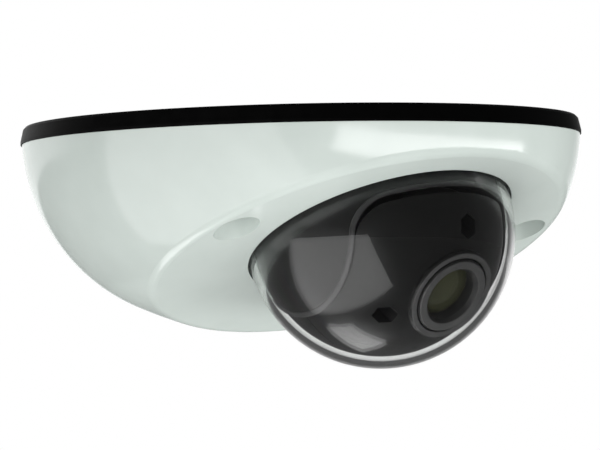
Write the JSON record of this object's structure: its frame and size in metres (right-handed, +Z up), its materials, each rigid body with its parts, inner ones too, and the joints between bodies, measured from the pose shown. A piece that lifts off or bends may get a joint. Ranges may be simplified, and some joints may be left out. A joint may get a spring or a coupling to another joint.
{
  "type": "dome cctv camera",
  "caption": "Ceiling dome camera: a rounded metal cover with a slanted face, a clear bubble, and a lens turret inside that pans, tilts and rolls.",
  "frame": {"origin": "middle of the base's flat ceiling face", "axes": "+Z up out of the ceiling face, the body hangs below it; -Y is the side that the lens looks to"},
  "size_m": [0.1102, 0.1102, 0.0487],
  "materials": {
    "painted_steel": "gloss",
    "base_coat": "satin",
    "foam_rubber": "matte",
    "grommet_rubber": "matte",
    "steel": "brushed",
    "clear_bubble": "clear",
    "black_plastic": "satin",
    "inner_plastic": "matte",
    "washer_nylon": "matte",
    "circuit_board": "satin",
    "chip_plastic": "matte",
    "thermal_rubber": "matte",
    "sensor_glass": "gloss",
    "filter_glass": "clear",
    "lens_glass": "coated",
    "barrel_black": "anodised",
    "jack_shell": "plated",
    "terminal_plastic": "matte",
    "light_lens": "gloss",
    "button_plastic": "matte"
  },
  "bodies": {
    "root": {"mounting_base": "base_coat", "ceiling_seal": "foam_rubber", "cover_seal": "foam_rubber", "cable_grommet": "grommet_rubber", "top_cover": "painted_steel", "cover_screws": "steel", "dome_window": "clear_bubble", "dome_gasket": "foam_rubber", "dome_clamp": "inner_plastic", "dome_clamp_screws": "steel", "turret_seat": "inner_plastic", "seat_screws": "steel", "main_board": "circuit_board", "board_screws": "steel", "processor": "chip_plastic", "thermal_pad": "thermal_rubber", "memory_chips": "chip_plastic", "ribbon_socket": "inner_plastic", "status_light": "light_lens", "network_jack": "jack_shell", "power_terminal": "terminal_plastic", "card_slot": "inner_plastic", "memory_card": "chip_plastic", "switch_body": "inner_plastic"},
    "pan": {"pan_ring": "black_plastic", "pan_lock_ring": "inner_plastic", "pan_screws": "steel", "tilt_pins": "steel", "tilt_washers": "washer_nylon"},
    "tilt": {"ball_front": "black_plastic", "ball_rear": "black_plastic", "ball_frame": "inner_plastic", "ball_screws": "steel"},
    "roll": {"lens_holder": "inner_plastic", "roll_clip": "inner_plastic", "filter_glass": "filter_glass", "sensor_board": "circuit_board", "image_sensor": "sensor_glass", "sensor_screws": "steel"},
    "focus": {"lens_barrel": "barrel_black", "front_lens": "lens_glass", "middle_lens": "lens_glass", "rear_lens": "lens_glass"},
    "button": {"reset_button": "button_plastic"}
  },
  "joints": [
    {"name": "turret_pan", "type": "hinge", "parent": "root", "child": "pan", "pos_m": [0, -0.02415, -0.02284], "axis": [0, -0.4086, -0.9127], "range_deg": [-175, 175]},
    {"name": "lens_tilt", "type": "hinge", "parent": "pan", "child": "tilt", "pos_m": [0, -0.02415, -0.02284], "axis": [1, 0, 0], "range_deg": [-4, 55]},
    {"name": "image_roll", "type": "hinge", "parent": "tilt", "child": "roll", "pos_m": [0, -0.02415, -0.02284], "axis": [0.0474, -0.8427, -0.5364], "range_deg": [-175, 175]},
    {"name": "focus_turn", "type": "hinge", "parent": "roll", "child": "focus", "pos_m": [0, -0.02415, -0.02284], "axis": [0.0474, -0.8427, -0.5364], "range_deg": [-180, 180]},
    {"name": "reset_press", "type": "slide", "parent": "root", "child": "button", "axis": [0, 0, 1], "range_m": [0, 0.0003], "stiffness_N_per_m": 4000, "springref_m": -0.0002}
  ]
}
